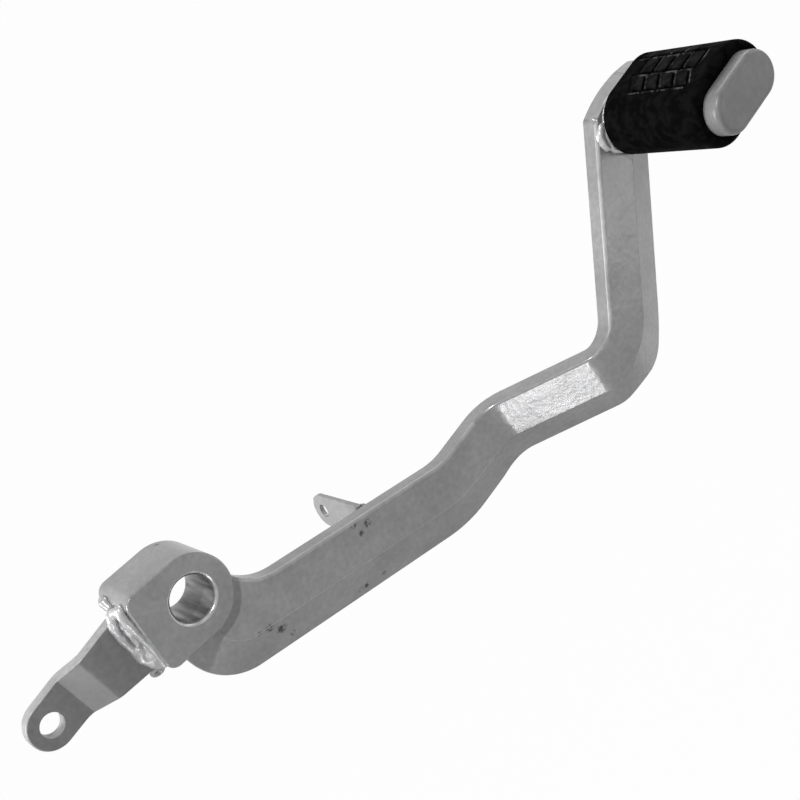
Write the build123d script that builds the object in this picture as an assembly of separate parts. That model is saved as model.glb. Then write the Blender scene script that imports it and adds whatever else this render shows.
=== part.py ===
from build123d import *
import os
from math import cos, radians, sin, tan

# Rear brake pedal of a motorbike, in millimetres.
# The origin is the middle of the pivot bore. +X runs forward to the toe pad, +Y inboard along the
# bore and +Z up. The pedal is a welded steel part with one rubber sleeve pushed onto its toe peg.

# Pivot boss: a block with a round nose and a flat tail, bored for the pivot shaft
BORE_D = 15.0
BORE_CHAMFER = 1.2
BOSS_LENGTH = 22.0
BOSS_RADIUS = 14.6
BOSS_REACH = 18.6
BOSS_CORNER_R = 4.0
BOSS_EDGE = 0.6
BOSS_TILT = 11.0

# Arm: a flat bar with a broad bevel along the lower half of its outboard face
BAR_THICKNESS = 7.2
BAR_WIDTH = 27.9
BAR_FACE = 15.5
BEVEL_DEPTH = 5.2
BAR_EDGE_R = 1.3
LOWER_EDGE_R = 0.4
ARM_RECESS = 2.5
ARM_FALL = 21.3
ARM_RISE = 51.9
FIRST_BEND_X = 92.3
FIRST_BEND_Z = -45.0
RAMP_START_X = 117.5
RAMP_RUN = 31.0
RAMP_DROP = 3.0
RAMP_START_LIFT = 1.7
RAMP_END_LIFT = 2.6
LIFT_RUN = 12.0
LIFT_R = 60.0
ARM_STEP = 31.0
KNEE_X = 158.4
FIRST_BEND_R = 25.0
RAMP_START_R = 15.0
RAMP_END_R = 10.0
KNEE_R = 11.0
KNEE_OUTER_R = 11.0
KNEE_DROP = 0.7
KNEE_SPREAD = 3.6
NOSE_TOP_X = 11.0
NOSE_R = 23.6
NOSE_SWEEP = 95.0
NECK_TOP_X = 25.5
NECK_R = 20.0
NECK_SWEEP = 65.0
TOE_TOP_Z = 11.3
TOE_CROWN = 3.4
TOE_BACK_R = 8.0
TOE_FRONT_R = 4.0
TOE_MARGIN = 0.3

# Actuating lever: a joggled plate behind the boss with the hole for the brake rod's clevis pin
LEVER_THICKNESS = 4.6
LEVER_FRONT_Y = -3.0
LEVER_JOGGLE = 4.5
LEVER_BEND_NEAR_X = -34.8
LEVER_BEND_FAR_X = -43.4
LEVER_BEND_R = 3.5
LEVER_HOLE_X = -54.6
LEVER_HOLE_Z = 4.0
LEVER_HOLE_D = 8.2
LEVER_END_R = 8.3
LEVER_ROOT_HALF = 11.8
LEVER_ROOT_DROP = 1.8
LEVER_WAIST_X = -46.0
LEVER_WAIST_R = 14.0
LEVER_EDGE_R = 0.8

# Spring tab: a drilled strip that stands off the inboard face of the arm
TAB_TOP_X = 61.5
TAB_THICKNESS = 1.6
TAB_HOLE_Y = 24.6
TAB_HOLE_D = 5.0
TAB_END_R = 6.2
TAB_LIFT = 0.3

# Toe pad: a flat-oval peg and its rubber sleeve, which sits in a groove round the peg
PAD_X = 221.0
PAD_Z = 0.3
PAD_TILT = 2.1
PEG_R = 8.3
PEG_HALF = 7.4
PEG_PROUD = 6.0
PEG_EDGE_R = 2.0
PEG_GROOVE = 1.2
RUBBER_R = 12.4
RUBBER_HALF = 6.8
RUBBER_LENGTH = 42.3
RUBBER_GAP = 1.2
RUBBER_OUTER_R = 2.5
RUBBER_INNER_R = 1.2

# Weld beads, by the leg of each fillet or the radius of each ridge
LEVER_WELD_R = 3.4
LEVER_WELD_LENGTH = 25.0
LEVER_WELD_INNER_LEG = 3.0
LEVER_WELD_DROP_R = 2.3
ARM_WELD_LEG = 4.0
PEG_WELD_LEG = 5.5
PEG_WELD_HEIGHT = 1.0
TAB_WELD_LEG = 2.0

boss_front = -BOSS_LENGTH / 2
arm_front = boss_front + ARM_RECESS
arm_back = arm_front + BAR_THICKNESS
toe_front = arm_front - ARM_STEP
knee_z = FIRST_BEND_Z - RAMP_DROP
lever_back = LEVER_FRONT_Y + LEVER_THICKNESS
peg_root = toe_front + BEVEL_DEPTH
rubber_inner = toe_front - RUBBER_GAP
rubber_outer = rubber_inner - RUBBER_LENGTH
peg_outer = rubber_outer - PEG_PROUD

inboard = Vector(0, 1, 0)
run_dir = Vector(cos(radians(ARM_FALL)), 0, -sin(radians(ARM_FALL)))
run_up = Vector(sin(radians(ARM_FALL)), 0, cos(radians(ARM_FALL)))
tail_dir = Vector(-cos(radians(BOSS_TILT)), 0, sin(radians(BOSS_TILT)))
tail_up = Vector(sin(radians(BOSS_TILT)), 0, cos(radians(BOSS_TILT)))
tail_end = tail_dir * BOSS_REACH
lever_root_top = tail_end + tail_up * (LEVER_ROOT_HALF - LEVER_ROOT_DROP)
lever_root_bottom = tail_end - tail_up * (LEVER_ROOT_HALF + LEVER_ROOT_DROP)


def slab(face, y_from, y_to):
    """Extrude a face drawn on the XZ plane from one Y to another."""
    return extrude(Pos(0, y_from, 0) * face, amount=y_to - y_from, dir=inboard)


def run_top(x):
    """Point on the top outboard edge of the arm's lower run."""
    return Vector(x, arm_front, FIRST_BEND_Z + (FIRST_BEND_X - x) * tan(radians(ARM_FALL)))


def run_plane(x):
    """Cross-section plane of the lower run: local x is inboard, local y is up."""
    return Plane(origin=run_top(x), x_dir=inboard, z_dir=run_dir)


def boss_outline():
    """Round nose about the bore and a straight block with a flat tail, on the XZ plane."""
    tail = Pos(-BOSS_REACH / 2, 0) * Rectangle(BOSS_REACH, 2 * BOSS_RADIUS)
    outline = Circle(BOSS_RADIUS) + tail
    corners = outline.vertices().sort_by(Axis.X)[:2]
    return Plane.XZ * Rot(0, 0, -BOSS_TILT) * fillet(corners, BOSS_CORNER_R)


def pivot_boss(block):
    """The boss block with its rims eased, bored and chamfered for the pivot shaft."""
    ends = block.faces().sort_by(Axis.Y)
    boss = chamfer(ends[0].edges() + ends[-1].edges(), BOSS_EDGE)
    boss -= slab(Plane.XZ * Circle(BORE_D / 2), boss_front, -boss_front)
    mouths = boss.edges().filter_by(GeomType.CIRCLE).filter_by(
        lambda edge: abs(edge.radius - BORE_D / 2) < 1e-3)
    return chamfer(mouths, BORE_CHAMFER)


def bar_section():
    """Bar section from its top outboard corner: depth along x, height along y.

    It is drawn wide enough for the knee's outer corner, and the lower outline trims the rest.
    """
    slope = BEVEL_DEPTH / (BAR_WIDTH - BAR_FACE)
    lowest = BAR_WIDTH + KNEE_SPREAD
    corners = [
        (0, 0),
        (BAR_THICKNESS, 0),
        (BAR_THICKNESS, -lowest),
        (BEVEL_DEPTH + slope * KNEE_SPREAD, -lowest),
        (0, -BAR_FACE),
    ]
    section = make_face(Polyline(*corners, close=True))
    return fillet(section.vertices().sort_by(Axis.Y)[2:], BAR_EDGE_R)


def section_band(top, bottom):
    """Part of the bar section between two heights below its top edge."""
    height = bottom - top
    band = Pos(BAR_THICKNESS / 2, -top - height / 2) * Rectangle(2 * BAR_THICKNESS, height)
    return bar_section() & band


def lower_outline():
    """Side view above the lower edge of the bar, which rises at the ramp and has a sharp knee."""
    start = run_top(NOSE_TOP_X) - run_up * BAR_WIDTH
    run_bottom = FIRST_BEND_Z - BAR_WIDTH
    knee_bottom = knee_z - BAR_WIDTH
    lean = 1 / tan(radians(ARM_RISE))
    bend = (FIRST_BEND_X - BAR_WIDTH * tan(radians(ARM_FALL / 2)), run_bottom)
    lift_start = (RAMP_START_X - 0.7 * LIFT_RUN, run_bottom)
    lift_end = (lift_start[0] + LIFT_RUN, run_bottom + RAMP_START_LIFT)
    ramp_end = (RAMP_START_X + RAMP_RUN, knee_bottom + RAMP_END_LIFT)
    corner_x = KNEE_X + BAR_WIDTH * tan(radians(ARM_RISE / 2)) - KNEE_DROP * lean
    corner = (corner_x, knee_bottom - KNEE_DROP)
    height = TOE_TOP_Z + BAR_WIDTH
    outline = make_face(Polyline(
        (start.X, start.Z),
        bend,
        lift_start,
        lift_end,
        ramp_end,
        corner,
        (corner_x + (height - corner[1]) * lean, height),
        (start.X, height),
        close=True,
    ))
    turns = [
        (bend, FIRST_BEND_R + BAR_WIDTH),
        (lift_start, FIRST_BEND_R),
        (lift_end, FIRST_BEND_R),
        (ramp_end, LIFT_R),
        (corner, KNEE_OUTER_R),
    ]
    for point, radius in turns:
        outline = fillet(outline.vertices().sort_by_distance(point)[0], radius)
    return Plane.XZ * outline


def toe_outline():
    """Crowned toe end of the bar with two rounded corners, on the XZ plane."""
    lean = 1 / tan(radians(ARM_RISE))
    side = TOE_MARGIN / sin(radians(ARM_RISE))
    corner_z = TOE_TOP_Z - TOE_CROWN
    back_x = KNEE_X + (corner_z - knee_z) * lean - side
    front_x = back_x + BAR_WIDTH / sin(radians(ARM_RISE)) + 2 * side
    depth = 2 * BAR_WIDTH
    crown = ThreePointArc(
        (back_x, corner_z), ((back_x + front_x) / 2, TOE_TOP_Z), (front_x, corner_z))
    sides = Polyline(
        (front_x, corner_z),
        (front_x - depth * lean, corner_z - depth),
        (back_x - depth * lean, corner_z - depth),
        (back_x, corner_z),
    )
    outline = make_face(crown + sides)
    outline = fillet(outline.vertices().sort_by(Axis.X)[-1], TOE_FRONT_R)
    back_corner = outline.vertices().filter_by(lambda v: abs(v.X - back_x) < 1e-3)
    outline = fillet(back_corner, TOE_BACK_R)
    return Plane.XZ * outline


def arm_bar():
    """Bent bar: a round nose under the boss, a hollow neck over it, the ramp, knee and toe end."""
    nose_drop = BAR_WIDTH - NOSE_R
    nose = revolve(
        run_plane(NOSE_TOP_X) * section_band(nose_drop, BAR_WIDTH),
        Axis(run_top(NOSE_TOP_X) - run_up * nose_drop, inboard),
        NOSE_SWEEP,
    )
    neck = revolve(
        run_plane(NECK_TOP_X) * section_band(-BAR_EDGE_R, BAR_FACE - BAR_EDGE_R),
        Axis(run_top(NECK_TOP_X) + run_up * NECK_R, inboard),
        NECK_SWEEP,
    )
    rise = BAR_WIDTH + TOE_TOP_Z - knee_z
    path = FilletPolyline(
        run_top(NOSE_TOP_X),
        (FIRST_BEND_X, arm_front, FIRST_BEND_Z),
        (RAMP_START_X, arm_front, FIRST_BEND_Z),
        (RAMP_START_X + RAMP_RUN, toe_front, knee_z),
        (KNEE_X, toe_front, knee_z),
        (KNEE_X + rise / tan(radians(ARM_RISE)), toe_front, knee_z + rise),
        radius=[FIRST_BEND_R, RAMP_START_R, RAMP_END_R, KNEE_R],
    )
    swept = sweep(run_plane(NOSE_TOP_X) * bar_section(), path)
    over = 2 * BAR_WIDTH
    swept &= slab(lower_outline(), -over, over)
    waste = Pos(KNEE_X + over, toe_front, TOE_TOP_Z) * Box(2 * over, 2 * over, over)
    waste -= slab(toe_outline(), toe_front - over, toe_front + over)
    bar = swept + nose + neck - waste
    low = bar.faces().filter_by(lambda face: face.center().Z < -BOSS_RADIUS)
    walls = low.filter_by(
        lambda face: abs(face.normal_at().Y) < 1e-3 and face.normal_at().Z < -0.1)
    rims = [edge for edge in walls.edges() if abs(edge.tangent_at(0.5).Y) < 0.9]
    return fillet(rims, LOWER_EDGE_R)


def actuating_lever(block):
    """Joggled plate from the flat tail of the boss to the clevis pin hole."""
    hole = Vector(LEVER_HOLE_X, 0, LEVER_HOLE_Z)
    half = Vector(0, 0, LEVER_END_R)
    waist = Vector(LEVER_WAIST_X, 0, LEVER_HOLE_Z) - half
    inside = tail_dir * -BOSS_CORNER_R
    blade = make_face(Polyline(
        lever_root_top + inside,
        lever_root_top,
        hole + half,
        hole - half,
        waist,
        lever_root_bottom,
        lever_root_bottom + inside,
        close=True,
    ))
    corner = blade.vertices().sort_by_distance(waist)[0]
    end = Plane.XZ * Pos(LEVER_HOLE_X, LEVER_HOLE_Z)
    blade = fillet(corner, LEVER_WAIST_R) + end * Circle(LEVER_END_R)

    near_y = LEVER_FRONT_Y + LEVER_THICKNESS / 2
    far_y = near_y + LEVER_JOGGLE
    path = FilletPolyline(
        (0, near_y, 0),
        (LEVER_BEND_NEAR_X, near_y, 0),
        (LEVER_BEND_FAR_X, far_y, 0),
        (LEVER_HOLE_X - 2 * LEVER_END_R, far_y, 0),
        radius=LEVER_BEND_R,
    )
    start = Plane(origin=(0, near_y, 0), x_dir=inboard, z_dir=(-1, 0, 0))
    strip = sweep(start * Rectangle(LEVER_THICKNESS, 4 * LEVER_ROOT_HALF), path)
    plate = slab(blade, boss_front, -boss_front) & strip
    walls = plate.faces().filter_by(
        lambda face: abs(face.normal_at().Y) < 0.05 and face.normal_at().dot(tail_dir) > -0.9)
    rims = [edge for edge in walls.edges() if abs(edge.tangent_at(0.5).Y) < 0.9]
    plate = fillet(rims, LEVER_EDGE_R)
    return plate - slab(end * Circle(LEVER_HOLE_D / 2), boss_front, -boss_front) - block


def spring_tab():
    """Drilled strip square to the lower run, butted on the inboard face of the arm."""
    hole_x = TAB_HOLE_Y - arm_front
    hole = Pos(hole_x, TAB_LIFT - TAB_END_R)
    length = hole_x - BAR_THICKNESS
    strip = hole * (Circle(TAB_END_R) + Pos(-length / 2, 0) * Rectangle(length, 2 * TAB_END_R))
    strip -= hole * Circle(TAB_HOLE_D / 2)
    return extrude(run_plane(TAB_TOP_X) * strip, amount=TAB_THICKNESS, dir=run_dir)


def pad_oval(end_r, half):
    """Flat-oval outline about the centre of the toe pad, on the XZ plane."""
    return Plane.XZ * Pos(PAD_X, PAD_Z) * Rot(0, 0, PAD_TILT) * SlotCenterToCenter(2 * half, 2 * end_r)


def toe_peg(arm):
    """Oval peg welded against the arm, necked down under the rubber, with a rounded outer rim."""
    peg = slab(pad_oval(PEG_R, PEG_HALF), peg_outer, peg_root)
    peg = fillet(peg.faces().sort_by(Axis.Y)[0].edges(), PEG_EDGE_R)
    groove = slab(pad_oval(2 * PEG_R, PEG_HALF), rubber_outer, rubber_inner)
    return peg - (groove - peg_neck()) - arm


def peg_neck():
    """Necked length of the peg, which is also the bore of the rubber."""
    return slab(pad_oval(PEG_R - PEG_GROOVE, PEG_HALF), rubber_outer, rubber_inner)


def pad_rubber():
    """Rubber sleeve with rounded ends."""
    sleeve = slab(pad_oval(RUBBER_R, RUBBER_HALF), rubber_outer, rubber_inner)
    sleeve = fillet(sleeve.faces().sort_by(Axis.Y)[0].edges(), RUBBER_OUTER_R)
    sleeve = fillet(sleeve.faces().sort_by(Axis.Y)[-1].edges(), RUBBER_INNER_R)
    return sleeve - peg_neck()


def lever_outer_weld(block, lever):
    """Two ridges of weld in the corner between the boss tail and the lever's outboard face."""
    straight = LEVER_WELD_LENGTH - 2 * LEVER_WELD_R
    ridge = Cylinder(LEVER_WELD_R, straight)
    ridge += Pos(0, 0, straight / 2) * Sphere(LEVER_WELD_R)
    ridge += Pos(0, 0, -straight / 2) * Sphere(LEVER_WELD_R)
    corner = Plane(origin=tail_end + inboard * LEVER_FRONT_Y, x_dir=inboard, z_dir=tail_up)
    beads = corner * (Pos(-LEVER_WELD_R, LEVER_WELD_R / 4) * ridge)
    beads += corner * (Pos(-LEVER_WELD_R / 4, LEVER_WELD_R) * ridge)
    return beads - block - lever


def lever_inner_weld(block, lever):
    """Plain fillet weld behind the lever, ended by a drop of metal below it."""
    middle = (lever_root_top + lever_root_bottom) / 2 + inboard * lever_back
    corner = Plane(origin=middle, x_dir=tail_dir, z_dir=tail_up)
    leg = LEVER_WELD_INNER_LEG
    triangle = make_face(Polyline((-leg, -leg), (leg, -leg), (-leg, leg), close=True))
    half = LEVER_ROOT_HALF - LEVER_EDGE_R
    bead = extrude(corner * triangle, amount=half, both=True)
    drop = Pos(LEVER_WELD_DROP_R / 2, 0, -half - 0.8 * LEVER_WELD_DROP_R)
    bead += corner * drop * Sphere(LEVER_WELD_DROP_R)
    return bead - block - lever


def arm_weld(block, arm, backing):
    """Fillet weld round the boss on the inboard face of the arm."""
    collar = offset(boss_outline(), ARM_WELD_LEG)
    bead = extrude(Pos(0, arm_back, 0) * collar, amount=ARM_WELD_LEG, dir=inboard, taper=45)
    return (bead & backing) - block - arm


def peg_weld(arm, peg):
    """Bead round the root of the toe peg."""
    collar = slab(pad_oval(PEG_R + PEG_WELD_LEG, PEG_HALF), toe_front - PEG_WELD_HEIGHT, peg_root)
    raised = Pos(0, -PEG_WELD_HEIGHT, 0) * arm
    return (collar & raised) - arm - peg


def tab_weld(backing, tab):
    """Fillet weld round the foot of the spring tab."""
    width = TAB_THICKNESS + 2 * TAB_WELD_LEG
    height = 2 * (TAB_END_R + TAB_WELD_LEG)
    foot = Plane(
        origin=run_top(TAB_TOP_X) + inboard * BAR_THICKNESS + run_dir * (TAB_THICKNESS / 2)
        + run_up * (TAB_LIFT - TAB_END_R),
        x_dir=run_dir,
        z_dir=inboard,
    )
    bead = extrude(foot * Rectangle(width, height), amount=TAB_WELD_LEG, taper=45)
    return (bead & backing) - tab


block = slab(boss_outline(), boss_front, -boss_front)
bar = arm_bar()
pedal_arm = bar - block
backing = mirror(bar, about=Plane.XZ.offset(-arm_back))
lever = actuating_lever(block)
tab = spring_tab()
peg = toe_peg(pedal_arm)

nodes = {
    "pedal_arm": pedal_arm,
    "pivot_boss": pivot_boss(block),
    "actuating_lever": lever,
    "spring_tab": tab,
    "toe_peg": peg,
    "pad_rubber": pad_rubber(),
    "weld_lever_outer": lever_outer_weld(block, lever),
    "weld_lever_inner": lever_inner_weld(block, lever),
    "weld_arm": arm_weld(block, pedal_arm, backing),
    "weld_peg": peg_weld(pedal_arm, peg),
    "weld_tab": tab_weld(backing, tab),
}

os.makedirs("parts", exist_ok=True)
for name, shape in nodes.items():
    export_step(shape, f"parts/{name}.step")
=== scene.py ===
# %% [markdown]
# # A welded rear brake pedal
# The object is the foot pedal that works the back brake of a motorbike: a bent
# steel arm, a bored boss that it swings on, a joggled lever for the brake rod, a
# little tab for a spring, and an oval peg with a rubber sleeve for the toe.
# Everything but the rubber was welded together, then sprayed silver in one go.
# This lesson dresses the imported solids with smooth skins, lumpy weld and a moulded
# tread, and with paint, bare steel and rubber. Blender's lengths are metres in the
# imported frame; places and radii in the lists below are millimetres.

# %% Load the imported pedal
import math

import bpy
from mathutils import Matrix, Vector


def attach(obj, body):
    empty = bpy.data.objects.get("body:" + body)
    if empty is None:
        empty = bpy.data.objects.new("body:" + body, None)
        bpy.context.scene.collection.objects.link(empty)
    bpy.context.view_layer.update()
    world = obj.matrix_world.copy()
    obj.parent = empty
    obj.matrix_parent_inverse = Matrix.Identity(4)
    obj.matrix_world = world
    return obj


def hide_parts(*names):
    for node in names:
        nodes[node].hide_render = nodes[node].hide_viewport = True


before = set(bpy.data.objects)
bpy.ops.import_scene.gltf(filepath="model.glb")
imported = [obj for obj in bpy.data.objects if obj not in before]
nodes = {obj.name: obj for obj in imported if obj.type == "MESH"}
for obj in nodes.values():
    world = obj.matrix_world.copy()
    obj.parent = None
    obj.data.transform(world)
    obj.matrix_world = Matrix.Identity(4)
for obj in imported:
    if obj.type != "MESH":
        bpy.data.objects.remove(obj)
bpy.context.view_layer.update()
MM = 0.001
bpy.ops.object.select_all(action="DESELECT")

# %% [markdown]
# ## The camera
# The picture was taken from outboard, a little behind the pivot and above it, with
# the camera rolled so that the arm climbs from the lower left to the upper right.
# A lens of 65 mm on a 36 mm sensor gives the same strength of perspective, which
# shows in how the long side of the boss narrows towards its far end.

# %% Place the camera
CAMERA_PLACE = (-60.085, -408.673, 215.931)
CAMERA_TURN = (54.2191, 35.6781, -44.1109)
LENS, SENSOR = 65.25, 36.0
NEAREST, FARTHEST = 0.01, 200.0
bpy.ops.object.camera_add(
    location=Vector(CAMERA_PLACE) * MM,
    rotation=[math.radians(angle) for angle in CAMERA_TURN],
)
camera = bpy.context.object
camera.name = "camera"
camera.data.lens, camera.data.sensor_width = LENS, SENSOR
camera.data.clip_start, camera.data.clip_end = NEAREST, FARTHEST
bpy.context.scene.camera = camera
bpy.context.scene.view_settings.view_transform = "Standard"
print("camera distance in mm:", round(camera.location.length / MM))

# %% [markdown]
# ## Colours and nodes
# Colours are written as the hex values a paint chart would give. Light adds up in
# linear values, so one function turns the hex into those. A second function adds
# one shader node, sets it up and wires its inputs, which keeps each material short.

# %% Helpers for materials
def linear(hex_colour):
    """An sRGB hex colour as the linear RGBA that shader sockets take."""
    parts = [int(hex_colour[i : i + 2], 16) / 255 for i in (1, 3, 5)]
    bent = [p / 12.92 if p <= 0.04045 else ((p + 0.055) / 1.055) ** 2.4 for p in parts]
    return (*bent, 1.0)


def add(owner, kind, inputs=None, **settings):
    """Adds one node; an input is either a plain value or another node's output."""
    made = owner.node_tree.nodes.new("ShaderNode" + kind)
    for name, value in settings.items():
        setattr(made, name, value)
    for socket, value in (inputs or {}).items():
        if isinstance(value, bpy.types.NodeSocket):
            owner.node_tree.links.new(value, made.inputs[socket])
        else:
            made.inputs[socket].default_value = value
    return made


def new_material(name):
    """An empty node material."""
    made = bpy.data.materials.new(name)
    made.use_nodes = True
    made.node_tree.nodes.clear()
    return made


print("mid grey in linear light:", [round(v, 3) for v in linear("#808080")[:3]])

# %% [markdown]
# ## Silver paint, sprayed on steel
# The paint is a one-coat aluminium silver: tiny metal flakes in a clear binder,
# baked to a semi-gloss. The eye sees a soft metallic sheen, a faint mottle where the
# flakes settled unevenly, and an orange peel where the wet coat drew together; the
# peel breaks a lamp's reflection into sparkle. Under it the hot-bent bar is never
# quite flat, so a third and much wider wave is mixed in. A full metal shader would
# mirror like chrome, so most of the colour is a dull grey with a little metal in it.
# The flakes are too fine to show: the mottle is drawn as the clouds they settle in.

# %% A recipe for the silver paint
PEEL, MOTTLE, WAVE = 2.0 * MM, 1.8 * MM, 14 * MM
FLAKE_SPREAD, SAG_HEIGHT, PAINT_SHINE = 0.08, 0.25 * MM, 0.25
MOTTLE_SPAN = {"From Min": 0.3, "From Max": 0.7}
CLOUD_SPAN = {"From Min": 0.35, "From Max": 0.65}


def silver_paint(name, deep, light, gloss, rough, peel_height, metallic, marks=()):
    """Silver between two greys, its roughness from gloss to rough, darkened at the marks."""
    made = new_material(name)
    place = add(made, "TexCoord").outputs["Object"]
    peel, mottle, wave = (
        add(made, "TexNoise", {"Vector": place, "Scale": 1 / size, "Detail": 1.5}).outputs["Fac"]
        for size in (PEEL, MOTTLE, WAVE)
    )
    blotch = add(made, "MapRange", {
        "Value": mottle, "To Min": 1 - FLAKE_SPREAD, "To Max": 1 + FLAKE_SPREAD, **MOTTLE_SPAN,
    })
    cloudy = add(made, "MapRange", {"Value": wave, **CLOUD_SPAN})
    silver = add(made, "Mix", {
        "Factor": cloudy.outputs["Result"], "A": linear(deep), "B": linear(light),
    }, data_type="RGBA")
    colour = add(made, "VectorMath", {
        0: silver.outputs[2], 1: blotch.outputs["Result"],
    }, operation="MULTIPLY").outputs["Vector"]
    if marks:
        colour = darkened_at_marks(made, place, colour, marks)
    sheen = add(made, "MapRange", {"Value": mottle, "To Min": gloss, "To Max": rough})
    sag = add(made, "Bump", {"Height": wave, "Distance": SAG_HEIGHT, "Strength": 1.0})
    relief = add(made, "Bump", {
        "Height": peel, "Distance": peel_height, "Strength": 1.0,
        "Normal": sag.outputs["Normal"],
    })
    coat = add(made, "BsdfPrincipled", {
        "Base Color": colour, "Metallic": metallic, "Specular IOR Level": PAINT_SHINE,
        "Roughness": sheen.outputs["Result"], "Normal": relief.outputs["Normal"],
    })
    add(made, "OutputMaterial", {"Surface": coat.outputs["BSDF"]})
    print(name, "nodes:", len(made.node_tree.nodes))
    return made


# %% [markdown]
# The arm has been in a box of parts: near the spring tab and along the lower edge
# the paint is chipped to dark steel in small ragged patches, and the boss has a nick
# on top. Each patch is a place and a radius on the real surface, so it stays put from
# every side. It is full in its core, fades out to its radius, and a noise tears it.
# The same recipe paints shade, as a dark patch, into the crater of a weld further down.

# %% A recipe for chips and painted shade
MARK_GRAIN, MARK_CORE, CHIP_AND_SHADE_GREY = 1.2 * MM, 0.4, "#3e3e3f"
MARK_SPAN = {"From Min": 0.42, "From Max": 0.54}


def darkened_at_marks(made, place, colour, marks):
    """A paint's colour darkened in ragged patches at each mark (place, radius): chips, and
    painted shade in a crater.
    """
    grain = add(made, "TexNoise", {"Vector": place, "Scale": 1 / MARK_GRAIN, "Detail": 1.5})
    ragged = add(made, "MapRange", {"Value": grain.outputs["Fac"], **MARK_SPAN})
    for spot, radius in marks:
        away = add(made, "VectorMath", {0: place, 1: Vector(spot) * MM}, operation="DISTANCE")
        inside = add(made, "MapRange", {
            "Value": away.outputs["Value"],
            "From Min": MARK_CORE * radius * MM, "From Max": radius * MM,
            "To Min": 1.0, "To Max": 0.0,
        })
        dark_share = add(made, "Math", {
            0: inside.outputs["Result"], 1: ragged.outputs["Result"],
        }, operation="MULTIPLY")
        colour = add(made, "Mix", {
            "Factor": dark_share.outputs[0], "A": colour, "B": linear(CHIP_AND_SHADE_GREY),
        }, data_type="RGBA").outputs[2]
    return colour


CHIPS = [
    ((53.8, -8.5, -31.5), 1.6), ((54.1, -8.5, -35.9), 1.3), ((57.9, -8.5, -35.3), 1.8),
    ((10.1, -8.2, -30.2), 2.0), ((12.9, -7.0, -34.6), 2.6), ((6.5, -8.4, -28.5), 1.1),
    ((14.6, -5.1, -40.0), 1.5), ((41.2, -4.5, -51.9), 1.5), ((43.8, -4.7, -52.5), 1.4),
    ((51.3, -4.8, -55.2), 1.0), ((7.7, 7.5, 12.4), 1.2),
]
print("chips:", len(CHIPS))

# %% [markdown]
# The coat differs from place to place: full and glossy on the arm, darker and duller
# on the lever's flats and the peg, lighter and duller on rounded edges, and lighter on
# the welds. The darker coat is painted shade, and the lighter coats are painted
# highlights. One recipe with a few numbers mixes them all.

# %% Mix the coats
paint = silver_paint(
    "sprayed_silver_paint", "#929293", "#9c9c9d", gloss=0.19, rough=0.28,
    peel_height=0.075 * MM, metallic=0.22, marks=CHIPS)
# Darker than the arm's coat: painted shade on the lever's flats and on the peg.
shaded_paint = silver_paint(
    "silver_paint_darkened_as_painted_shade", "#7b7b7c", "#858586", gloss=0.32, rough=0.42,
    peel_height=0.04 * MM, metallic=0.08)
# Lighter than the arm's coat: a painted highlight on rounded edges.
highlight_edge_paint = silver_paint(
    "silver_paint_with_painted_edge_highlight", "#9c9c9d", "#adadae", gloss=0.36, rough=0.48,
    peel_height=0.04 * MM, metallic=0.15)
# Lighter than the arm's coat: a painted highlight on the welds.
highlight_weld_paint = silver_paint(
    "silver_paint_on_weld_with_painted_highlight", "#b2b2b3", "#c6c6c7", gloss=0.26, rough=0.40,
    peel_height=0.03 * MM, metallic=0.3)

# %% [markdown]
# ## Steel pieces, smoothed
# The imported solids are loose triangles, so a raking light would show every facet.
# A copy of each is merged into one skin, and its normals are then shared across
# the curves but weighted by face area, which keeps the flats truly flat up to
# their rounded edges. The copy stands in for its solid and stays where that is.

# %% Helpers for the solids
MERGE_REACH, CURVE_ANGLE = 0.002 * MM, math.radians(32)


def only(piece):
    """Makes a piece the one selected and active object."""
    bpy.ops.object.select_all(action="DESELECT")
    bpy.context.view_layer.objects.active = piece
    piece.select_set(True)


def shaped(piece, kind, **settings):
    """Adds one modifier to a piece and applies it at once."""
    only(piece)
    bpy.ops.object.modifier_add(type=kind)
    modifier = piece.modifiers[-1]
    for name, value in settings.items():
        setattr(modifier, name, value)
    bpy.ops.object.modifier_apply(modifier=modifier.name)


def merged_copy(node_name, piece_name):
    """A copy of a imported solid, merged from loose triangles into one skin."""
    piece = bpy.data.objects.new(piece_name, nodes[node_name].data.copy())
    bpy.context.scene.collection.objects.link(piece)
    only(piece)
    bpy.ops.object.mode_set(mode="EDIT")
    bpy.ops.mesh.select_all(action="SELECT")
    bpy.ops.mesh.remove_doubles(threshold=MERGE_REACH)
    bpy.ops.object.mode_set(mode="OBJECT")
    piece.data.materials.clear()
    return piece


def smoothed(piece):
    """Shares normals across curves and keeps flats flat."""
    only(piece)
    bpy.ops.object.shade_smooth_by_angle(angle=CURVE_ANGLE)
    shaped(piece, "WEIGHTED_NORMAL", keep_sharp=True)


def in_place_of(node_name, piece):
    """Lets a finished piece stand for its solid."""
    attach(piece, "root")
    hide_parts(node_name)
    print(piece.name, "faces:", len(piece.data.polygons))


print("solids to dress:", len(nodes))

# %% [markdown]
# The lever's flats and the peg get a darker, duller coat, whose darker colour is
# painted shade. Rounded edges get a lighter, duller coat, whose lighter colour is a
# painted highlight: on the lever's rim, and along the arm, where it traces the crease
# between the face and its bevels. Faces are picked by how far they look along the
# pivot's axis. On the arm they are picked by place too, because the ramp's flats are
# turned as far from that axis as a rounded edge is.

# %% Dress the steel solids
FLAT_LOOK, EDGE_LOOKS = 0.85, ((0.93, 0.985), (0.12, 0.91))
LOWER_RUN_Y, LOWER_RUN_X = -8.6, 110
UPPER_ARM_Y, UPPER_ARM_Z = -38.1, -50


def flat_across(face):
    """True on a flat that looks along the pivot's axis."""
    return abs(face.normal.y) > FLAT_LOOK


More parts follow.
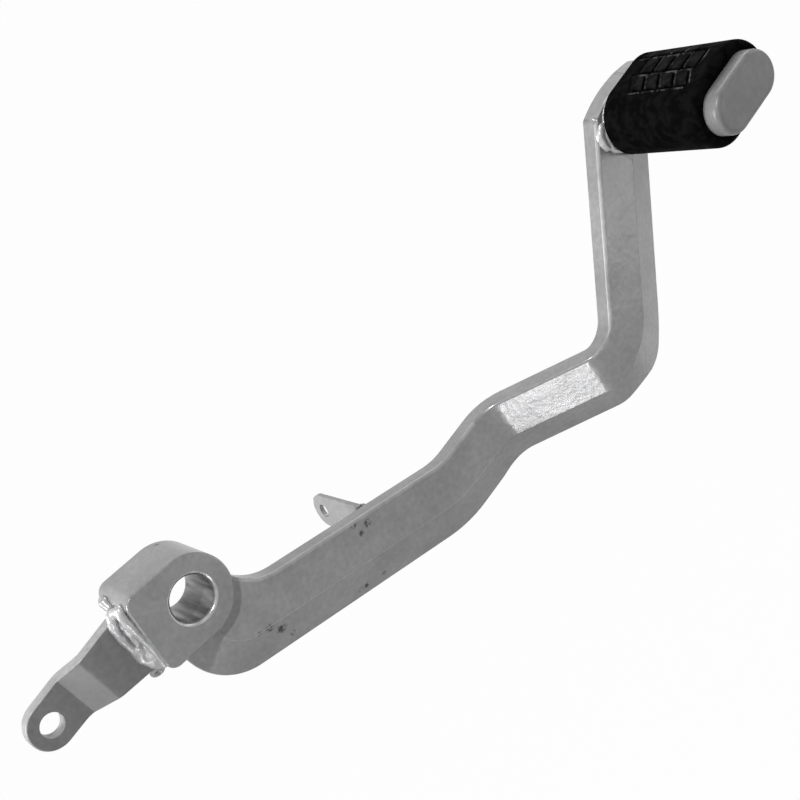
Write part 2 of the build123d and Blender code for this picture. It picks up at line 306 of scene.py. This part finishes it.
def rounded_edge(face):
    """True on the arm's rounded edges, on either side of the ramp."""
    x, y, z = face.center / MM
    rounded = any(least < -face.normal.y < most for least, most in EDGE_LOOKS)
    on_lower_run = y > LOWER_RUN_Y and x < LOWER_RUN_X
    on_upper_arm = y < UPPER_ARM_Y and z > UPPER_ARM_Z
    return rounded and (on_lower_run or on_upper_arm)


STEEL_NODES = (
    "pedal_arm", "pivot_boss", "spring_tab", "actuating_lever", "toe_peg",
    "weld_arm", "weld_tab",
)
FIRST_COAT = {"actuating_lever": highlight_edge_paint, "toe_peg": shaded_paint}
SECOND_COAT = {
    "actuating_lever": (shaded_paint, flat_across),
    "pedal_arm": (highlight_edge_paint, rounded_edge),
}
steel = {}
for name in STEEL_NODES:
    steel[name] = merged_copy(name, name + "_painted")
    skin = steel[name].data
    skin.materials.append(FIRST_COAT.get(name, paint))
    if name in SECOND_COAT:
        coat, wanted = SECOND_COAT[name]
        skin.materials.append(coat)
        for face in skin.polygons:
            face.material_index = int(wanted(face))
    smoothed(steel[name])
    in_place_of(name, steel[name])

# %% [markdown]
# ## The bored hole
# The hole in the boss was bored through before painting, so its wall is dull steel.
# Soft streaks of darker and lighter colour run along the hole: they are painted
# reflections. The chamfer at each mouth was cut last and is bright. A lining could be
# modelled, but the solid's own faces are there already, so they only get other
# materials. They are picked by their distance from the bore's axis.

# %% Steel in the bore
STREAK_WIDTH, STREAK_LENGTH = 3, 25


def bare_steel(name, dark, light, gloss, rough, metallic):
    """Cut steel with streaks of painted reflection that run along the bore."""
    made = new_material(name)
    place = add(made, "TexCoord").outputs["Object"]
    along = add(made, "Mapping", {
        "Vector": place, "Scale": (1 / STREAK_WIDTH, 1 / STREAK_LENGTH, 1 / STREAK_WIDTH),
    })
    reflection_streaks = add(made, "TexNoise", {
        "Vector": along.outputs["Vector"], "Scale": 1 / MM, "Detail": 2.0,
    }).outputs["Fac"]
    spread = add(made, "MapRange", {"Value": reflection_streaks, **CLOUD_SPAN})
    # Painted reflection: the streaks mix a dark and a light colour along the bore.
    colour = add(made, "Mix", {
        "Factor": spread.outputs["Result"], "A": linear(dark), "B": linear(light),
    }, data_type="RGBA")
    tone = add(made, "MapRange", {"Value": reflection_streaks, "To Min": rough, "To Max": gloss})
    skin = add(made, "BsdfPrincipled", {
        "Base Color": colour.outputs[2], "Metallic": metallic,
        "Roughness": tone.outputs["Result"],
    })
    add(made, "OutputMaterial", {"Surface": skin.outputs["BSDF"]})
    return made


BORE_MOUTH_R, WALL_LOOK = 8.69, 0.3
boss = steel["pivot_boss"]
# The wall's streaks of dark and light colour are painted reflections.
boss.data.materials.append(bare_steel(
    "bore_steel_with_painted_reflections", "#4a4a4a", "#9c9c9c", gloss=0.22, rough=0.42, metallic=0.45))
boss.data.materials.append(bare_steel(
    "bright_cut_steel", "#a0a0a0", "#c0c0c0", gloss=0.22, rough=0.34, metallic=0.5))
BORE_WALL, BRIGHT = 1, 2
for face in boss.data.polygons:
    reach = math.hypot(face.center.x, face.center.z) / MM
    if reach < BORE_MOUTH_R:
        face.material_index = BORE_WALL if abs(face.normal.y) < WALL_LOOK else BRIGHT
print("faces in the bore:", sum(face.material_index > 0 for face in boss.data.polygons))

# %% [markdown]
# ## Weld beads
# A bead is a string of molten drops that froze into each other. A swept tube would be
# too even, so it is modelled as what it is: balls set close along a line, like a rope,
# fused into one skin by a voxel remesh, eased by a Smooth modifier and rippled by a
# soft cloud. The balls sink into the solids that they join, as the real metal does.

# %% Helpers for a bead
RIPPLE_LENGTH, DROP_SPACING, DROP_DETAIL = 2.6 * MM, 0.7, 3


def rope(places):
    """Drops along straight runs between places, each (place, radius)."""
    drops = []
    for (start, first), (end, last) in zip(places, places[1:]):
        count = max(1, round((end - start).length / DROP_SPACING))
        drops += [
            (start.lerp(end, i / count), first + (last - first) * i / count)
            for i in range(count)
        ]
    return drops + [places[-1]]


def weld_bead(node_name, drops, coat, voxel=0.25 * MM, ripple=0.55 * MM, easing=9):
    """One skin over many drops of weld metal, in the place of a packed bead."""
    bpy.ops.object.select_all(action="DESELECT")
    for count, (place, radius) in enumerate(drops):
        bpy.ops.mesh.primitive_ico_sphere_add(
            subdivisions=DROP_DETAIL, radius=radius * MM, location=Vector(place) * MM,
        )
        if count == 0:
            bead = bpy.context.object
            bead.name = node_name + "_bead"
            bpy.ops.object.transform_apply()
            bpy.ops.object.mode_set(mode="EDIT")
    bpy.ops.object.mode_set(mode="OBJECT")
    shaped(bead, "REMESH", mode="VOXEL", voxel_size=voxel)
    shaped(bead, "SMOOTH", factor=0.5, iterations=easing)
    cloud = bpy.data.textures.new(node_name + "_ripple", "CLOUDS")
    cloud.noise_scale, cloud.noise_depth = RIPPLE_LENGTH, 1
    shaped(bead, "DISPLACE", texture=cloud, strength=ripple, texture_coords="GLOBAL")
    bpy.ops.object.shade_smooth()
    bead.data.materials.append(coat)
    in_place_of(node_name, bead)


print("drops in 10 mm of bead:", round(10 / DROP_SPACING))

# %% [markdown]
# The weld between the boss and the rod lever was run in two passes, which leaves
# two ridges with a dark valley between them. They meet at the boss's upper corner,
# where the arc was struck and left lumps, and at the lower end the pool was let grow
# before the arc was broken, so the metal spreads there. Places are given from the
# boss's slanted end, which is easier to picture than the frame's own axes.

# %% The two-pass weld on the rod lever
BOSS_TILT, BOSS_REACH = math.radians(11), 18.6
tail_out = Vector((-math.cos(BOSS_TILT), 0, math.sin(BOSS_TILT)))
tail_up = Vector((math.sin(BOSS_TILT), 0, math.cos(BOSS_TILT)))


def at_tail(out, y, up):
    """A place by its distance out from the boss's end, its Y and its height along that end."""
    return tail_out * (BOSS_REACH + out) + tail_up * up + Vector((0, y, 0))


def tail_rope(*places):
    """A rope of weld by places at the boss's end, each (out, y, up, radius)."""
    return rope([(at_tail(*place[:3]), place[3]) for place in places])


first_pass = tail_rope(
    (0.8, -6.6, 11.5, 1.7), (1.3, -7.3, 9.2, 1.9), (1.1, -7.7, 6.3, 1.8), (0.6, -7.5, 1.5, 1.5),
    (0.2, -7.4, -1.5, 1.2), (-0.1, -7.6, -4.2, 1.4), (-0.3, -7.4, -8.0, 1.0),
    (-0.4, -7.4, -12.4, 1.0))
second_pass = tail_rope(
    (3.2, -4.0, 10.6, 1.8), (4.6, -3.4, 7.0, 1.7), (4.9, -3.2, 4.4, 1.4), (4.6, -3.3, 1.8, 1.7),
    (4.1, -3.2, -0.8, 1.5), (3.6, -3.2, -3.9, 1.7), (3.9, -2.9, -7.2, 1.4))
start_pool = tail_rope((0.8, -6.4, 11.4, 1.8), (2.0, -5.2, 11.2, 1.7), (3.2, -3.6, 10.4, 1.8))
valley_floor = tail_rope((2.6, -3.3, 8.6, 1.6), (1.5, -3.3, 3.4, 1.5), (1.2, -3.3, -2.6, 1.6))
end_pool = tail_rope(
    (2.4, -4.2, -4.6, 2.1), (3.1, -3.6, -7.6, 2.0), (1.6, -3.9, -10.0, 2.2),
    (0.0, -3.8, -12.2, 1.8),
) + tail_rope((0.2, -4.6, -5.2, 2.2), (0.7, -4.6, -9.0, 2.3), (-0.1, -4.3, -12.0, 1.8))
ridges = first_pass + second_pass
weld_bead("weld_lever_outer", ridges + start_pool + valley_floor + end_pool, highlight_weld_paint)

# %% [markdown]
# Behind the lever runs a plain fillet weld, fat at its upper end where the arc was
# struck. Its lower end is a drop that hangs below the lever, with a crater in it where
# the metal shrank: a ring of small drops on one big one. The crater's inside is
# painted darker, as painted shade.

# %% The fillet behind the lever and its crater
DROP_R, RIM_DROPS, RIM_DROP_R, RIM_R, RIM_RISE = 2.1, 24, 0.8, 1.9, 1.4
CRATER_SHADE_RISE, CRATER_SHADE_R = 1.9, 1.7
fillet = tail_rope(
    (0.5, 6.4, 11.8, 1.4), (0.8, 4.6, 11.6, 1.9), (0.7, 2.8, 9.8, 1.6), (0.5, 2.1, 6.0, 1.4),
    (0.5, 2.0, -12.4, 1.5), (1.0, 1.2, -14.2, 1.8))
drop_middle = at_tail(1.0, 0.5, -14.9)
crater_way = Vector((-0.25, -0.75, -0.45)).normalized()
crater_side = crater_way.orthogonal().normalized()
crater_across = crater_way.cross(crater_side)
crater = [(drop_middle, DROP_R)]
for turn in range(RIM_DROPS):
    angle = math.tau * turn / RIM_DROPS
    spoke = crater_side * math.cos(angle) * RIM_R + crater_across * math.sin(angle) * RIM_R
    crater.append((drop_middle + crater_way * RIM_RISE + spoke, RIM_DROP_R))
# The crater's coat is lighter, like the weld's, as a painted highlight; the dark mark inside the
# crater is painted shade.
crater_paint_with_shade = silver_paint(
    "silver_paint_in_crater_with_painted_shade", "#acacad", "#bcbcbd", gloss=0.24, rough=0.36,
    peel_height=0.03 * MM, metallic=0.3,
    marks=[(drop_middle + crater_way * CRATER_SHADE_RISE, CRATER_SHADE_R)])
weld_bead(
    "weld_lever_inner", fillet + crater, crater_paint_with_shade,
    voxel=0.2 * MM, ripple=0.2 * MM, easing=3)

# %% [markdown]
# The bead round the root of the toe peg is hidden by the rubber but for the side
# towards the pivot. There the welder ran it out over the arm's edge in a few short,
# flat strokes, which show as a bright smear beside the rubber.

# %% The bead at the toe peg
PAD_X, PAD_Z, PAD_TILT = 221.0, 0.3, math.radians(2.1)
PEG_HALF, ARM_FACE_Y = 7.4, -39.5
COLLAR_REACH, COLLAR_R, COLLAR_SUNK = 9.6, 1.4, 0.55
COLLAR_ANGLES = range(95, 275, 10)
pad_along = Vector((math.cos(PAD_TILT), 0, math.sin(PAD_TILT)))
pad_up = Vector((-math.sin(PAD_TILT), 0, math.cos(PAD_TILT)))


def at_pad(along, y, up):
    """A place by its distance along and above the middle of the toe pad."""
    return Vector((PAD_X, y, PAD_Z)) + pad_along * along + pad_up * up


def stroke(*places):
    """A rope of weld on the arm's face, each place (along, up, radius, how far it is sunk)."""
    return rope([
        (at_pad(along, ARM_FACE_Y + sunk, up), radius) for along, up, radius, sunk in places])


turns = [math.radians(angle) for angle in COLLAR_ANGLES]
collar = stroke(*[
    (-PEG_HALF + COLLAR_REACH * math.cos(t), COLLAR_REACH * math.sin(t), COLLAR_R, COLLAR_SUNK)
    for t in turns])
strokes = (
    stroke((-17.2, 6.0, 1.5, 0.6), (-19.6, 4.2, 1.7, 0.5), (-20.6, 1.8, 1.8, 0.6),
           (-20.4, -0.6, 1.6, 0.6))
    + stroke((-16.4, 4.4, 1.6, 0.5), (-17.8, 1.6, 1.8, 0.6), (-18.6, -1.6, 1.7, 0.6))
    + stroke((-19.8, -1.0, 1.3, 0.5), (-18.2, -3.4, 1.5, 0.7), (-16.4, -5.6, 1.4, 0.6)))
weld_bead("weld_peg", collar + strokes, highlight_weld_paint, ripple=0.5 * MM, easing=6)

# %% [markdown]
# ## The rubber sleeve
# The sleeve is black rubber, moulded in a spark-eroded mould and pushed over the oval
# peg. Carbon black swallows nearly all light, so the eye sees a dull black with hardly
# any shine, a fine grain from the mould, and grey scuffs where a boot has rubbed it.
# The real grain is about 0.2 mm and would not show, so it is drawn at 0.6 mm.

# %% Mix the rubbers
MOULD_GRAIN, PATCH_SIZE, GRAIN_HEIGHT = 0.6 * MM, 3.0 * MM, 0.08 * MM
PATCH_SPAN = {"From Min": 0.42, "From Max": 0.62}
LEAST_ROUGH, MOST_ROUGH = 0.5, 0.7


def moulded_rubber(name, dark, light, specular):
    """Dull, grained rubber in patches from dark to light: scuffs, and on the lips a painted
    highlight.
    """
    made = new_material(name)
    place = add(made, "TexCoord").outputs["Object"]
    fine, broad = (
        add(made, "TexNoise", {"Vector": place, "Scale": 1 / size, "Detail": 2.0}).outputs["Fac"]
        for size in (MOULD_GRAIN, PATCH_SIZE)
    )
    patches = add(made, "MapRange", {"Value": broad, **PATCH_SPAN})
    colour = add(made, "Mix", {
        "Factor": patches.outputs["Result"], "A": linear(dark), "B": linear(light),
    }, data_type="RGBA")
    relief = add(made, "Bump", {"Height": fine, "Distance": GRAIN_HEIGHT, "Strength": 0.7})
    tone = add(made, "MapRange", {"Value": fine, "To Min": LEAST_ROUGH, "To Max": MOST_ROUGH})
    skin = add(made, "BsdfPrincipled", {
        "Base Color": colour.outputs[2], "Roughness": tone.outputs["Result"],
        "Normal": relief.outputs["Normal"], "Specular IOR Level": specular,
    })
    add(made, "OutputMaterial", {"Surface": skin.outputs["BSDF"]})
    print(name, "nodes:", len(made.node_tree.nodes))
    return made


rubber = moulded_rubber("moulded_black_rubber", "#080808", "#121212", specular=0.004)
block_rubber = moulded_rubber("trodden_black_rubber", "#080808", "#1c1c1c", specular=0.008)
# The grey lips at the grooves' far edges are a painted highlight.
lip_highlight_rubber = moulded_rubber("grey_rubber_painted_highlight", "#0e0e0e", "#4c4c4c", specular=0.02)

# %% [markdown]
# ## The tread
# Rows of blocks with grooves between them keep a wet boot from slipping. They could be
# modelled where they are, but round an oval that is hard to measure. So they are drawn
# flat, where they are easy to lay out, and one function wraps any point of the flat
# work round the oval: straight over the two flats, and turned at the ends.

# %% Wrap flat work round the oval
RUBBER_R, RUBBER_HALF = 12.4, 6.8
SLAB_CUTS = 3


def wrapped(across, y, height):
    """Takes a flat point (arc length across, y, height over the skin) to the oval."""
    over = math.copysign(max(abs(across) - RUBBER_HALF, 0), across)
    turn, radius = over / RUBBER_R, RUBBER_R + height
    return at_pad(across - over + radius * math.sin(turn), y, radius * math.cos(turn)) * MM


def wrapped_slab(corners, bottom, top):
    """A slab over a four-sided outline of (across, y), cut up so that it bends when wrapped."""
    bpy.ops.object.select_all(action="DESELECT")
    bpy.ops.mesh.primitive_plane_add(size=1)
    slab = bpy.context.object
    bpy.ops.object.mode_set(mode="EDIT")
    bpy.ops.mesh.select_all(action="SELECT")
    bpy.ops.mesh.subdivide(number_cuts=SLAB_CUTS)
    bpy.ops.mesh.extrude_region_move(TRANSFORM_OT_translate={"value": (0, 0, 1)})
    bpy.ops.mesh.select_all(action="SELECT")
    bpy.ops.mesh.normals_make_consistent()
    bpy.ops.object.mode_set(mode="OBJECT")
    a, b, c, d = (Vector(corner) for corner in corners)
    for vertex in slab.data.vertices:
        u, v, w = vertex.co.x + 0.5, vertex.co.y + 0.5, vertex.co.z
        spot = a.lerp(b, u).lerp(d.lerp(c, u), v)
        vertex.co = wrapped(spot.x, spot.y, bottom + (top - bottom) * w)
    return slab


print("girth of the sleeve in mm:", round(math.tau * RUBBER_R + 4 * RUBBER_HALF, 1))

# %% [markdown]
# A hollow for each row is cut out of the sleeve, and the blocks are set into it, flush
# with the skin, so that the grooves are what is left between them. Each far edge of a
# groove gets a narrow grey lip, in patches: a painted highlight where that rounded edge
# catches the light. A row is given by where it starts and ends across the pad, how far
# its grooves slant, and the place of one groove.

# %% Cut the hollows and set in the blocks
GROOVE, GROOVE_DEPTH, PITCH = 1.3, 1.1, 6.6
LIP, LIP_HEIGHT, LIP_ROOT = 0.7, 0.1, 0.5
BLOCK_ROOT, CUT_ABOVE = 0.3, 1.0
TREAD_START_Y, TREAD_END_Y, TREAD_MARGIN = -44.4, -75.6, 2
SEAM_COUNTS = range(-6, 7)
ROWS = [(-8.4, 0.0, 4.0, -66.2), (0.0, 8.3, 0.0, -68.6), (8.3, 13.4, -2.4, -66.0)]


def stretch(row, first, last, grow=0.0):
    """The slanted outline of a stretch of a row from y first to y last."""
    low, high, slant, _ = row
    ends = [(low + GROOVE / 2 - grow, slant), (high - GROOVE / 2 + grow, 0.0)]
    return [(across, first - grow - lean) for across, lean in ends] + [
        (across, last + grow - lean) for across, lean in reversed(ends)]


sleeve = merged_copy("pad_rubber", "pad_rubber_sleeve")
blocks, lips = [], []
for row in ROWS:
    _, _, slant, seam = row
    starts = []
    for count in SEAM_COUNTS:
        middle = seam + PITCH * (count + 0.5) - slant / 2
        if TREAD_END_Y + TREAD_MARGIN < middle < TREAD_START_Y - TREAD_MARGIN:
            starts.append(seam + PITCH * count + GROOVE / 2)
    whole = stretch(row, starts[0], starts[-1] + PITCH - GROOVE, GROOVE)
    hollow = wrapped_slab(whole, -GROOVE_DEPTH, CUT_ABOVE)
    shaped(sleeve, "BOOLEAN", object=hollow, operation="DIFFERENCE")
    bpy.data.objects.remove(hollow)
    for start in starts:
        block = stretch(row, start, start + PITCH - GROOVE)
        blocks.append(wrapped_slab(block, -GROOVE_DEPTH - BLOCK_ROOT, 0.0))
        (near, front), (_, back) = block[0], block[3]
        outer, inner = near - GROOVE - LIP, near - GROOVE
        foot = [(outer, front), (inner, front), (inner, back), (outer, back)]
        side = stretch(row, start - GROOVE - LIP, start - GROOVE)
        lips += [wrapped_slab(lip, -LIP_ROOT, LIP_HEIGHT) for lip in (side, foot)]
print("blocks:", len(blocks), "lips:", len(lips))

# %% [markdown]
# A moulded edge is never sharp, so blocks and lips get a small round before they are
# joined to the sleeve. Joined, they are one piece, as the real sleeve is.

# %% Join the tread to the sleeve
BLOCK_ROUND, LIP_ROUND, ROUND_ANGLE = 0.25 * MM, 0.12 * MM, math.radians(50)
sleeve.data.materials.append(rubber)
for pieces, coat, width in ((blocks, block_rubber, BLOCK_ROUND), (lips, lip_highlight_rubber, LIP_ROUND)):
    for piece in pieces:
        piece.data.materials.append(coat)
        shaped(piece, "BEVEL", width=width, segments=2, angle_limit=ROUND_ANGLE)
only(sleeve)
for piece in blocks + lips:
    piece.select_set(True)
bpy.ops.object.join()
smoothed(sleeve)
in_place_of("pad_rubber", sleeve)

# %% [markdown]
# ## Floor and background
# The pedal hangs over a plain white floor, which fills the picture. More light would
# wash out the paint, so the floor and the world show white only to rays that look at
# them or mirror them, and give the pedal little light. A small share of the floor's
# plain paint is left in, which keeps the shadow.

# %% Floor and world
FLOOR_SIZE, FLOOR_DROP, SHADOW_SHARE, SKY_LIGHT = 80.0, 1.40, 0.02, 0.05
FLOOR_COLOUR, WHITE = "#e6e6e6", (1, 1, 1, 1)


def shown(owner):
    """One for rays that look at or mirror the background, zero for light."""
    path = add(owner, "LightPath")
    seen = path.outputs["Is Camera Ray"]
    for kind in ("Is Glossy Ray", "Is Transmission Ray"):
        either = add(owner, "Math", {0: seen, 1: path.outputs[kind]}, operation="MAXIMUM")
        seen = either.outputs[0]
    return seen


bpy.ops.object.select_all(action="DESELECT")
bpy.ops.mesh.primitive_plane_add(size=FLOOR_SIZE, location=(0, 0, -FLOOR_DROP))
floor = bpy.context.object
floor.name = "floor"
white = new_material("white_studio_floor")
floor_paint = add(white, "BsdfDiffuse", {"Color": linear(FLOOR_COLOUR)})
floor_glow = add(white, "Emission", {"Color": WHITE, "Strength": 1.0})
floor_share = add(white, "Math", {0: shown(white), 1: 1.0 - SHADOW_SHARE}, operation="MULTIPLY")
floor_mix = add(white, "MixShader", {
    "Fac": floor_share.outputs[0],
    1: floor_paint.outputs["BSDF"], 2: floor_glow.outputs["Emission"],
})
add(white, "OutputMaterial", {"Surface": floor_mix.outputs["Shader"]})
floor.data.materials.append(white)

world = bpy.data.worlds.new("studio")
world.use_nodes = True
bpy.context.scene.world = world
world.node_tree.nodes.clear()
sky_dim = add(world, "Background", {"Color": WHITE, "Strength": SKY_LIGHT})
sky_white = add(world, "Background", {"Color": WHITE, "Strength": 1.0})
sky = add(world, "MixShader", {
    "Fac": shown(world), 1: sky_dim.outputs["Background"], 2: sky_white.outputs["Background"],
})
add(world, "OutputWorld", {"Surface": sky.outputs["Shader"]})
print("floor below the pivot in mm:", round(FLOOR_DROP / MM))

# %% [markdown]
# ## Lamps
# A small key lamp stands high up, a little to the left, so that the boss draws a crisp
# shadow on the arm and on its nose. Broad lamps light the shape: a faint one overhead,
# two behind that edge the upper arm and the boss, two on the right that keep the far
# bevels from going dead, and one in front that lifts the face of the upper arm.
# Smaller ones stand where a flat mirrors them to the camera: low on the left for the
# ramp, beside that for the lever's bend, and below for the crease along the arm.
# Each lamp has a name, a way to it from the pedal, a diameter in metres and a power
# in watts.

# %% Place the lamps
MIDDLE, LAMP_REACH = Vector((0.095, -0.025, -0.03)), 1.6
LAMPS = [
    ("key", (-0.28, -0.44, 0.85), 0.09, 14.5),
    ("overhead", (0.31, -0.34, 0.89), 0.60, 0.6),
    ("low_left", (-0.772, -0.41, -0.49), 0.24, 1.55),
    ("low_left_fade", (-0.77, -0.50, -0.40), 0.34, 3.0),
    ("back_left", (-0.88, 0.30, 0.37), 0.70, 24.5),
    ("back_right", (0.75, 0.35, 0.56), 0.80, 7.0),
    ("low_right", (0.66, -0.12, -0.74), 0.80, 0.8),
    ("right", (0.90, -0.35, 0.20), 0.80, 3.0),
    ("front", (0.62, -0.73, -0.30), 0.70, 1.9),
    ("crease", (0.22, -0.55, -0.80), 0.30, 0.6),
]
for name, way, size, power in LAMPS:
    way = Vector(way).normalized()
    bpy.ops.object.light_add(type="AREA", location=MIDDLE + way * LAMP_REACH)
    lamp = bpy.context.object
    lamp.name = "lamp_" + name
    lamp.rotation_euler = way.to_track_quat("Z", "Y").to_euler()
    lamp.data.shape, lamp.data.size, lamp.data.energy = "DISK", size, power
print("lamps:", len(LAMPS))
